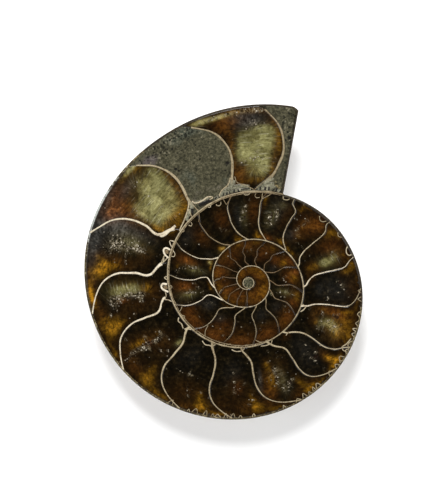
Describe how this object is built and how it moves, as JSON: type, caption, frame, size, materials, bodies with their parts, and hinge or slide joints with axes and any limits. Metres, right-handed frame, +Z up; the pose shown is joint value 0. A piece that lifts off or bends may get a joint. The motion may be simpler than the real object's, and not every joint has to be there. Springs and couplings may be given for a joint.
{
  "type": "ammonite fossil half",
  "caption": "Spiral ammonite fossil sawn in half, with a flat polished chambered face and a rounded natural flank that it lies on.",
  "frame": {"origin": "middle of the bounding box on the surface the fossil lies on", "axes": "+Z up, out of the polished face; +Y towards the rim beside the sawn end; +X to the side that the sawn end faces"},
  "size_m": [0.08, 0.0908, 0.0142],
  "materials": {
    "fossil_stone": "polished stone face, natural stone flank"
  },
  "bodies": {
    "root": {"ammonite": "fossil_stone"}
  },
  "joints": []
}
